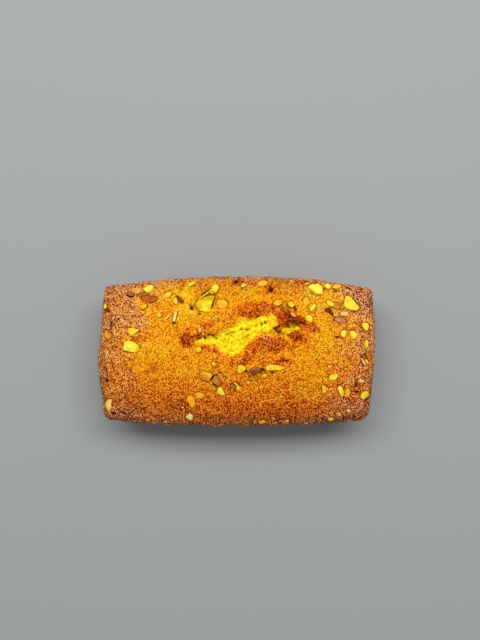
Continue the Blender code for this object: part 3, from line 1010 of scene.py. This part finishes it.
def crust_marks(points, top, nuts):
    """What marks the crust at each point: lift is in metres, and the rest from 0 to 1."""
    torn = ragged(points, *PATCH_TEARS)
    torn_twice = ragged(np.column_stack([torn, points[:, 2]]), *CRUMB_TEARS)
    patch, patch_lift = patches(torn, BROWN_PATCHES)
    dull, dull_and_sheen_lift = patches(torn, DULL_AND_SHEEN_PATCHES, DULL_AND_SHEEN_BORDER)
    lift = patch_lift + dull_and_sheen_lift - CRUMB_DEPTH * MM * crumb_share(torn)
    under, ring = nut_beds(ragged(points, *BED_TEARS), nuts)
    risen = eased(wave(points, *NUT_COVERS), -0.1, 0.4)
    crack = eased(line_distance(torn, on_crust(CRACK)), *CRACK_BORDER)
    bubbles, number = pebbles(points, *PORES)
    return SimpleNamespace(
        lift=lift * top,
        crumb=crumb_share(torn_twice) * top,
        patch=patch,
        dull=dull,
        yellow=patches(torn, YELLOW_PATCHES)[0] * top,
        dim=patches(torn, DIM_PATCHES)[0] * top,
        under=under * top,
        groove=ring * top * (1 - risen),
        cover=ring * top * risen,
        pits=pit_depths(ragged(points, *PIT_TEARS)) * top,
        crack=crack * eased(wave(points, *CRACK_BREAKS), -0.25, 0.35) * top,
        pore=eased(bubbles, 0.26, 0.12) * (number > 0.6),
    )


def crust_baking(points, v, top, inward, distances, marks):
    """How the crust is baked at each point: how brown, how dull with painted sheen, how rough, and with what
    grain.
    """
    broad = waves(points, BROAD_BLOTCHES)
    edges = edge_browning(distances, broad)
    dull = edges + (1 - edges) * marks.dull
    rim_share = RIM_BROWN + (HIGH_RIM_BROWN - RIM_BROWN) * eased(v, 0.8, 1.0)
    dull += (WALL_BROWN - dull) * rim_share * eased(inward, RIM_BROWN_REACH, 0.0)
    dull = np.where(top, dull, WALL_BROWN)
    glow = orange_glow(distances, v)
    rough = np.clip(dull + 0.5 * glow + 0.4 * eased(inward, 7.0 * MM, 1.0 * MM), 0, 1)
    grain, speck = grains(points, rough)
    return SimpleNamespace(
        broad=broad,
        mottle=waves(points, FINE_BLOTCHES),
        dull=dull,
        glow=glow,
        brown=glow + (1 - glow) * marks.patch,
        rough=rough,
        grain=grain,
        speck=speck,
        clumps=waves(points, CLUMPS),
    )


def crust_offset(points, rim, top, marks, baking):
    """How far the crust's relief moves each point of the smooth skin."""
    craggy = (0.30 + 0.45 * baking.rough) * (0.35 + 0.65 * top)
    bumps = baking.grain - 0.6 + (0.08 + 0.30 * baking.rough) * baking.clumps
    ridges = 1 - 2 * abs(wave(points, *CRUMB_RIDGES))
    torn = CRUMB_RIDGE_HEIGHT * ridges + CRUMB_GRAIN_HEIGHT * wave(points, *CRUMB_GRAINS)
    offset = craggy * bumps * (1 - 0.3 * marks.crumb)
    offset -= PORE_DEPTH * marks.pore * (1 - marks.crumb)
    offset += RIM_WAVE_HEIGHT * rim * wave(points, *RIM_WAVES)
    offset += marks.crumb * torn
    offset += NUT_COVER_HEIGHT * marks.cover - NUT_GROOVE_DEPTH * marks.groove
    offset -= NUT_BED_DEPTH * marks.under + PIT_DEPTH * marks.pits + CRACK_DEPTH * marks.crack
    return offset * MM + swell(points) * (1 - 0.6 * rim) + marks.lift


def crust_values(level, marks, baking):
    """What the crust's material needs at each point."""
    patch, crumb, yellow = marks.patch, marks.crumb, marks.yellow
    broad, mottle, dull = baking.broad, baking.mottle, baking.dull
    covered = eased(patch + 0.08 * mottle, 0.15, 0.7)
    # dark: painted shade in the pits, the crack, the grooves round the nut pieces, the pores and the dim
    # patches.
    dark = marks.pits + marks.dim + 0.62 * marks.crack + 0.5 * marks.groove + 0.4 * marks.pore
    blotches = (0.07 + 0.17 * baking.glow) * broad + 0.11 * mottle * (1 - 0.6 * patch)
    # relief: the grain's height, which the material turns into painted shade in the gaps and painted
    # highlight on the tips.
    relief = baking.grain + (0.02 + 0.22 * baking.rough) * baking.clumps
    swing = baking.rough * (1 - crumb) - 0.35 * np.maximum(patch, crumb)
    calm = eased(level + 0.5 * (1 - level) * broad, 1.0, 0.70)
    return {
        "brown": np.clip(baking.brown + blotches, 0, 1),
        "dull": np.clip(dull + 0.06 * broad + 0.3 * mottle * eased(dull, 0.0, 0.2), 0, 1),
        "crumb": np.maximum(crumb * (1 - covered), yellow + 0.12 * mottle * (yellow > 0)),
        "relief": relief + (WALL_RELIEF - relief) * WALL_CALM * calm,
        "dark": np.clip(dark, 0, 1),
        "speck": baking.speck,
        "swing": swing + (WALL_SWING - swing) * calm,
    }


def skin(points, u, v, level, nuts):
    """The offset of each point of the smooth skin, and what its material needs."""
    top = level >= 1
    distances = edge_distances(u, v)
    inward = np.minimum.reduce(list(distances.values()))
    rim = np.where(top, eased(inward, 2.0 * MM, 0.0), eased(level, 0.8, 1.0))
    marks = crust_marks(points, top, nuts)
    baking = crust_baking(points, v, top, inward, distances, marks)
    offset = crust_offset(points, rim, top, marks, baking)
    return offset * eased(level, -0.4, 0.12), crust_values(level, marks, baking)


# The mesh of the cake.


def knots(count, length, crowd_middle, crowd_reach):
    """count + 1 places from -1 to 1, closer together at the ends and round the split."""
    places = np.linspace(-1, 1, CROWD_SAMPLES)
    inward = (1 - abs(places)) * length / 2
    off_split = (places * length / 2 - crowd_middle) / crowd_reach
    crowd = 1 + EDGE_CROWD * np.exp(-inward / EDGE_CROWD_REACH)
    crowd += SPLIT_CROWD * np.exp(-(off_split**4))
    total = np.concatenate([[0], np.cumsum((crowd[1:] + crowd[:-1]) / 2)])
    return np.interp(np.linspace(0, total[-1], count + 1), total, places)


def walk_round(columns, rows, start_column=0, start_row=0):
    """The columns and rows of a rectangle's edge, once round from its first corner."""
    low = [(column, 0) for column in range(columns)]
    right = [(columns, row) for row in range(rows)]
    high = [(column, rows) for column in range(columns, 0, -1)]
    left = [(0, row) for row in range(rows, 0, -1)]
    walk = np.array(low + right + high + left)
    return walk + (start_column, start_row)


def grid(columns, rows):
    """Every column with every row."""
    return np.stack(np.meshgrid(columns, rows, indexing="ij"), axis=-1).reshape(-1, 2)


def top_faces(numbers):
    """The top's faces, from the number of the vertex at each column and row."""
    corners = [numbers[:-1, :-1], numbers[1:, :-1], numbers[1:, 1:], numbers[:-1, 1:]]
    return np.stack(corners, axis=-1).reshape(-1, 4).tolist()


def wall_faces(rings):
    """The faces between each ring of vertices and the next one down."""
    faces = []
    for upper, lower in itertools.pairwise(rings):
        corners = [lower, np.roll(lower, -1), np.roll(upper, -1), upper]
        faces += np.stack(corners, axis=1).tolist()
    return faces


def underside_faces(numbers):
    """The underside's faces, from the number of the vertex at each column and row, or -1."""
    faces = []
    for column, row in itertools.product(range(0, COLUMNS, COARSE), range(0, ROWS, COARSE)):
        cell = numbers[tuple(walk_round(COARSE, COARSE, column, row).T)]
        faces.append(cell[cell >= 0][::-1].tolist())
    return faces


def cake_mesh():
    """The fine mesh: u, v and level of each vertex, and the faces."""
    top = grid(np.arange(COLUMNS + 1), np.arange(ROWS + 1))
    border = walk_round(COLUMNS, ROWS)
    inner = grid(np.arange(COARSE, COLUMNS, COARSE), np.arange(COARSE, ROWS, COARSE))
    ring_levels = [1 - (step + 1) / WALL_RINGS for step in range(WALL_RINGS)]
    ring_levels += [-(step + 1) / ARC_RINGS for step in range(ARC_RINGS)]
    columns, rows = np.concatenate([top, *[border] * len(ring_levels), inner]).T
    levels = [np.ones(len(top)), np.repeat(ring_levels, len(border)), np.full(len(inner), -1.0)]
    level = np.concatenate(levels)

    numbers = np.arange(len(level))
    top_numbers = numbers[: len(top)].reshape(COLUMNS + 1, ROWS + 1)
    rings = numbers[len(top) : -len(inner)].reshape(-1, len(border))
    under_numbers = np.full(top_numbers.shape, -1)
    under_numbers[tuple(border.T)] = rings[-1]
    under_numbers[tuple(inner.T)] = numbers[-len(inner) :]
    rim = top_numbers[tuple(border.T)]
    faces = top_faces(top_numbers) + wall_faces([rim, *rings]) + underside_faces(under_numbers)
    u = knots(COLUMNS, LENGTH, *LENGTH_CROWD)[columns]
    v = knots(ROWS, WIDTH, *WIDTH_CROWD)[rows]
    return u, v, level, faces


def smooth_object(name, points, faces, finish):
    """A new smooth-shaded object from points and faces."""
    mesh = bpy.data.meshes.new(name)
    mesh.from_pydata(points.tolist(), [], faces)
    mesh.shade_smooth()
    mesh.materials.append(finish)
    made = bpy.data.objects.new(name, mesh)
    bpy.context.scene.collection.objects.link(made)
    return made


def paint_values(thing, values):
    """Writes each named set of numbers to the object's mesh, one for each vertex."""
    for name, numbers in values.items():
        layer = thing.data.attributes.new(name, "FLOAT", "POINT")
        layer.data.foreach_set("value", np.asarray(numbers, np.float32))


def make_cake(nuts, finish):
    """The cake's skin: a smooth mesh, moved along its normals by the crust's relief."""
    u, v, level, faces = cake_mesh()
    points = cake_points(u, v, level)
    cake = smooth_object("cake_skin", points, faces, finish)
    normals = np.empty(len(points) * 3, np.float32)
    cake.data.vertex_normals.foreach_get("vector", normals)
    offset, values = skin(points, u, v, level, nuts)
    moved = points + normals.reshape(-1, 3) * offset[:, None]
    moved[:, 2] = np.maximum(moved[:, 2], 0)
    cake.data.vertices.foreach_set("co", moved.ravel())
    cake.data.update()
    paint_values(cake, values)
    return cake


# The nut pieces.

Nut = namedtuple("Nut", "name kind place corners thickness proud slope lift number")


def small_outline(chance, length, width, turn):
    """The corners of a chopped piece's outline, seen from above."""
    count = chance.integers(*CHIP_CORNERS)
    spread = chance.uniform(-CHIP_SPREAD, CHIP_SPREAD, count)
    angles = (np.arange(count) + spread) / count * 2 * math.pi
    far = chance.uniform(*CHIP_REACHES, count)
    corners = np.stack([np.cos(angles) * far, np.sin(angles) * far], axis=1)
    corners *= (2, 2) / (corners.max(axis=0) - corners.min(axis=0))
    return turned(corners * (length * MM / 2, width * MM / 2), turn)


def seen_outline(pixels):
    """The middle of an outline given in pixels, and its corners from there."""
    corners = on_crust(pixels)
    middle = (corners.min(axis=0) + corners.max(axis=0)) / 2
    return middle, corners - middle


def least_width(corners):
    return min(np.ptp(turned(corners, degrees)[:, 0]) for degrees in range(0, 180, 15))


def make_nut(name, kind, place, corners, proud, slope, number):
    thickness = NUT_THICKNESS_SHARE * least_width(corners)
    return Nut(name, kind, place, corners, thickness, proud, slope, 0.0, number)


def all_nuts():
    """Every nut piece, the large ones first."""
    chance = np.random.default_rng(NUT_SEED)
    nuts = []
    for name, (pixels, proud, kind, slope) in LARGE_NUTS.items():
        place, corners = seen_outline(pixels)
        nuts.append(make_nut(name, kind, place, corners, proud * MM, slope, len(nuts)))
    outlines = [(kind, *seen_outline(pixels)) for kind, pixels in listed(SHAPED_NUTS)]
    for kind, (column, row, length, width, turn) in listed(SMALL_NUTS):
        place = on_crust([(column, row)])[0]
        outlines.append((kind, place, small_outline(chance, length, width, turn)))
    tones = np.array(NUT_TONES)
    tone_places = on_crust(tones[:, :2])
    for kind, place, corners in outlines:
        proud = NUT_LEAST_PROUD + NUT_KINDS[kind][0] * least_width(corners)
        slope = chance.normal(0, NUT_TONE_SPREAD, 3)
        near = np.linalg.norm(tone_places - place, axis=1) < NUT_TONE_REACH
        slope[2] += tones[near, 2].sum()
        nuts.append(make_nut(None, kind, place, corners, proud, slope, len(nuts)))
    places = np.array([nut.place for nut in nuts])
    heights = top_height(*square_place(places))
    lifts = broad_lift(np.column_stack([places, heights]))
    return [nut._replace(lift=lift) for nut, lift in zip(nuts, lifts)]


def listed(table):
    """Each piece of a table by kinds, with its kind."""
    return [(kind, piece) for kind, pieces in table.items() for piece in pieces]


def ball(subdivisions):
    """The points and triangles of a ball."""
    bm = bmesh.new()
    bmesh.ops.create_icosphere(bm, subdivisions=subdivisions, radius=1.0)
    bm.verts.index_update()
    points = np.array([vert.co for vert in bm.verts])
    faces = np.array([[vert.index for vert in face.verts] for face in bm.faces])
    bm.free()
    return points, faces


def nut_planes(chance, outline, reach):
    """The planes that bound a nut piece, for gauge: sides, bevels, flats and facets."""
    half = reach[2]
    sides = np.column_stack([outline, chance.uniform(*SIDE_SLANTS, len(outline)) / half])
    bevel_slants = chance.uniform(*BEVEL_SLANTS, len(outline)) / half
    bevels = np.column_stack([BEVEL_CUT * outline, bevel_slants])
    flats = np.column_stack([chance.uniform(*FLAT_SLANTS, (2, 2)) / half, (1 / half, -1 / half)])
    ways = chance.uniform(0, 2 * math.pi, NUT_FACETS)
    slants = chance.uniform(*FACET_SLANTS, NUT_FACETS)[:, None] / reach[:2]
    cuts = chance.uniform(*FACET_CUTS, NUT_FACETS) / half
    facets = np.column_stack([np.cos(ways) * slants[:, 0], np.sin(ways) * slants[:, 1], cuts])
    return np.vstack([sides, bevels, flats, facets])


def nut_points(nut, directions):
    """The points of a nut piece in its place, and what its material needs."""
    chance = np.random.default_rng(NUT_SEED + nut.number)
    half = nut.thickness / 2
    reach = (*abs(nut.corners).max(axis=0), half)
    outline = side_planes(nut.corners)
    planes = nut_planes(chance, outline, reach)
    stretched = directions * reach
    local = stretched / gauge(stretched, planes, NUT_SHARPNESS)[:, None]
    shift = nut.number * NUT_NOISE_STEP
    local *= 1 + waves(local + shift, NUT_CHIPS)[:, None]
    side = gauge(local[:, :2], outline, NUT_SHARPNESS)
    height = local[:, 2] / half
    lean = Matrix.Rotation(chance.normal(0, NUT_LEAN), 4, "X")
    lean @= Matrix.Rotation(chance.normal(0, NUT_LEAN), 4, "Y")
    sunk = Matrix.Translation((0, 0, nut.lift + nut.proud - half))
    matrix = np.array(crust_frame(nut.place) @ sunk @ lean)
    placed = local @ matrix[:3, :3].T + matrix[:3, 3]
    tone = 0.5 + nut.slope[2] + waves(local + shift, NUT_MOTTLE)
    # The slope's first two numbers paint light and shade across the piece.
    tone += local[:, :2] / reach[:2] @ nut.slope[:2]
    # edge: painted shade along the piece's outline and down its low sides.
    edge = eased(side, 0.84, 0.98) * 0.6 + eased(height, 0.3, -0.2) * 0.7
    return placed, {"tone": tone, "edge": np.clip(edge, 0, 1)}


def joined_nuts(name, nuts, subdivisions, finish):
    """One object of several nut pieces."""
    directions, triangles = ball(subdivisions)
    placed, values, faces = [], [], []
    for number, nut in enumerate(nuts):
        points, painted = nut_points(nut, directions)
        placed.append(points)
        values.append(painted)
        faces += (triangles + number * len(directions)).tolist()
    made = smooth_object(name, np.concatenate(placed), faces, finish)
    joined = {key: np.concatenate([each[key] for each in values]) for key in values[0]}
    paint_values(made, joined)
    return made


# Materials.


class Look:
    """A material. Each method adds a node and returns its output."""

    def __init__(self, name, roughness, specular):
        self.material = bpy.data.materials.new(name)
        self.material.use_nodes = True
        self.tree = self.material.node_tree
        self.shader = self.tree.nodes["Principled BSDF"]
        self.shader.inputs["Roughness"].default_value = roughness
        self.shader.inputs["Specular IOR Level"].default_value = specular

    def set(self, socket, value):
        """Links an output to a socket, or sets the socket to a number or a colour."""
        if isinstance(value, bpy.types.NodeSocket):
            self.tree.links.new(value, socket)
        elif isinstance(value, tuple) and len(value) == 3 and socket.type == "RGBA":
            socket.default_value = (*value, 1.0)
        else:
            socket.default_value = value

    def node(self, kind, inputs, **settings):
        made = self.tree.nodes.new(kind)
        for name, value in settings.items():
            setattr(made, name, value)
        for key, value in inputs.items():
            self.set(made.inputs[key], value)
        return made

    def attribute(self, name):
        return self.node("ShaderNodeAttribute", {}, attribute_name=name).outputs["Fac"]

    def noise(self, size, detail=2.0, roughness=0.5):
        """Noise from 0 to 1, with bumps of that size, in rows that are askew to the cake."""
        place = self.node("ShaderNodeTexCoord", {}).outputs["Object"]
        askew = self.node("ShaderNodeMapping", {"Vector": place, "Rotation": NOISE_TURN})
        vector = askew.outputs["Vector"]
        inputs = {"Vector": vector, "Scale": 1 / size, "Detail": detail, "Roughness": roughness}
        return self.node("ShaderNodeTexNoise", inputs).outputs["Fac"]

    def sum(self, *terms, start=0.0):
        """start and every term, which is an output and its weight."""
        total = start
        for value, weight in terms:
            inputs = {0: value, 1: weight, 2: total}
            total = self.node("ShaderNodeMath", inputs, operation="MULTIPLY_ADD").outputs[0]
        return total

    def product(self, a, b):
        return self.node("ShaderNodeMath", {0: a, 1: b}, operation="MULTIPLY").outputs[0]

    def eased(self, value, low, high):
        inputs = {"Value": value, "From Min": low, "From Max": high}
        made = self.node("ShaderNodeMapRange", inputs, interpolation_type="SMOOTHSTEP")
        return made.outputs["Result"]

    def ramp(self, value, *stops):
        """A colour along stops, each a place and a colour."""
        made = self.node("ShaderNodeValToRGB", {"Fac": value})
        elements = made.color_ramp.elements
        for _ in stops[2:]:
            elements.new(0.5)
        for element, (place, colour) in zip(elements, stops):
            element.position = place
            element.color = (*colour, 1.0)
        return made.outputs["Color"]

    def mixed(self, share, first, second, blend="MIX"):
        inputs = {0: share, 6: first, 7: second}
        made = self.node("ShaderNodeMix", {}, data_type="RGBA", blend_type=blend)
        for key, value in inputs.items():
            self.set(made.inputs[key], value)
        return made.outputs[2]

    def finish(self, colour, roughness, height):
        """Sets the colour, the roughness and the bumps, and returns the material."""
        inputs = {"Height": height, "Distance": BUMP_HEIGHT, "Strength": 1.0}
        self.set(self.shader.inputs["Base Color"], colour)
        self.set(self.shader.inputs["Roughness"], roughness)
        normal = self.node("ShaderNodeBump", inputs).outputs["Normal"]
        self.set(self.shader.inputs["Normal"], normal)
        return self.material


def crust_look():
    """Baked crust from golden to dark brown, and bare crumb, by the mesh's attributes, with painted shade in
    its gaps, pits, crack and grooves, painted highlight on its grain tips, and painted sheen in its dull
    brown.
    """
    look = Look("crust", 0.6, 0.02)
    names = ("brown", "dull", "crumb", "relief", "dark", "speck", "swing")
    brown, dull, crumb, relief, dark, speck, swing = (look.attribute(name) for name in names)
    fine = look.noise(CRUST_FINE, 1.0, 0.5)
    coarse = look.noise(CRUST_COARSE, 2.0, 0.5)
    finest = look.noise(CRUST_FINEST, 2.0, 0.5)
    uneven = look.sum((fine, 1.0), (finest, 0.4), start=-0.7)
    mottled = look.product(uneven, look.sum((swing, 2.5), start=3.1))
    # The tone follows the relief and the bumps' noise: painted shade in the gaps, painted highlight on the
    # tips.
    tone = look.sum((relief, 0.95), (mottled, 1.0), (coarse, 0.2), (speck, 0.3), start=-0.36)
    colours = {
        name: look.ramp(tone, *zip(CRUST_TONES, stops)) for name, stops in CRUST_COLOURS.items()
    }
    shade = look.sum((brown, 1.0), (coarse, 0.2), start=-0.1)
    char = look.eased(shade, 0.55, 0.95)
    crust = look.mixed(look.eased(shade, 0.06, 0.44), colours["golden"], colours["orange"])
    crust = look.mixed(char, crust, colours["charred"])
    # The dull brown, whose pale pinkish tips are painted sheen, and then the darker brown.
    dull_and_sheen_level = look.sum((dull, 1.0), (coarse, 0.5), start=-0.25)
    dull_and_sheen_share = look.product(look.eased(dull_and_sheen_level, 0.0, 0.62), look.sum((char, -0.75), start=1.0))
    crust = look.mixed(dull_and_sheen_share, crust, colours["dull"])
    crust = look.mixed(look.eased(dull_and_sheen_level, 0.45, 0.92), crust, colours["brown"])
    bare_share = look.eased(look.sum((crumb, 1.0), (coarse, 0.36), start=-0.18), 0.14, 1.04)
    colour = look.mixed(bare_share, crust, colours["crumb"])
    # Painted shade: the dark places take on the colour of shade, brown on the crust and olive in the crumb.
    gap = look.mixed(bare_share, (0.08, 0.03, 0.01), (0.24, 0.15, 0.04))
    colour = look.mixed(dark, colour, look.mixed(1.0, colour, gap, "MULTIPLY"))
    height = look.sum((fine, 1.0), (finest, 0.5))
    roughness = look.sum((crumb, 0.15), (fine, 0.2), start=0.5)
    return look.finish(colour, roughness, height)


def nut_look(kind):
    """The look of one kind of nut piece, with painted shade at its outline, low sides and hollows, and
    painted highlights at its brightest places.
    """
    look = Look("nut_" + kind, 0.4, 0.12)
    tone, edge = look.attribute("tone"), look.attribute("edge")
    fine = look.noise(NUT_FINE, 3.0, 0.6)
    coarse = look.noise(NUT_COARSE, 2.0, 0.5)
    level = look.sum((tone, 1.0), (fine, 1.0), (coarse, 0.4), (edge, -0.5), start=-0.6)
    hollow, middle, bright = NUT_KINDS[kind][1]
    colour = look.ramp(level, (0.1, hollow), (0.45, middle), (0.8, bright))
    roughness = look.sum((fine, 0.3), start=0.3)
    return look.finish(colour, roughness, fine)


# The stage.


def add_floor():
    bpy.ops.mesh.primitive_plane_add(size=FLOOR_SIZE)
    floor = bpy.context.object
    floor.name = "floor"
    look = Look("floor", 0.7, 0.2)
    look.set(look.shader.inputs["Base Color"], FLOOR_COLOUR)
    floor.data.materials.append(look.material)


def add_lights():
    """The light from all round, and a long soft one that faces the cake."""
    world = bpy.data.worlds.new("studio")
    world.use_nodes = True
    background = world.node_tree.nodes["Background"]
    background.inputs["Color"].default_value = (*SKY_COLOUR, 1.0)
    background.inputs["Strength"].default_value = SKY_STRENGTH
    bpy.context.scene.world = world
    light = bpy.data.lights.new("key", "AREA")
    light.shape = "RECTANGLE"
    light.size = KEY_LENGTH
    light.size_y = KEY_WIDTH
    light.energy = KEY_POWER
    key = bpy.data.objects.new("key", light)
    key.location = KEY_PLACE
    key.rotation_euler = Vector(KEY_PLACE).to_track_quat("Z", "Y").to_euler()
    bpy.context.scene.collection.objects.link(key)


def add_camera():
    camera = bpy.data.objects.new("camera", bpy.data.cameras.new("camera"))
    camera.data.lens = LENS
    camera.data.sensor_width = SENSOR
    camera.data.clip_start = 0.01
    camera.location = (*CAMERA_PLACE, RIM_HEIGHT + VIEW_DISTANCE)
    bpy.context.scene.collection.objects.link(camera)
    bpy.context.scene.camera = camera
    bpy.context.scene.view_settings.view_transform = "Standard"


def place_piece(piece, node=None):
    """Puts a piece on the only body, in the place of its node."""
    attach(piece, "root")
    if node:
        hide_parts(node)


def main():
    nuts = all_nuts()
    finishes = {kind: nut_look(kind) for kind in NUT_KINDS}
    place_piece(make_cake(nuts, crust_look()), "cake")
    for nut in nuts:
        if nut.name:
            piece = joined_nuts(nut.name + "_piece", [nut], LARGE_DIVISIONS, finishes[nut.kind])
            place_piece(piece, nut.name)
    for kind in SHAPED_NUTS:
        chips = [nut for nut in nuts if nut.kind == kind and not nut.name]
        piece = joined_nuts("chips_" + kind, chips, CHIP_DIVISIONS, finishes[kind])
        place_piece(piece)
    add_floor()
    add_lights()
    add_camera()


main()
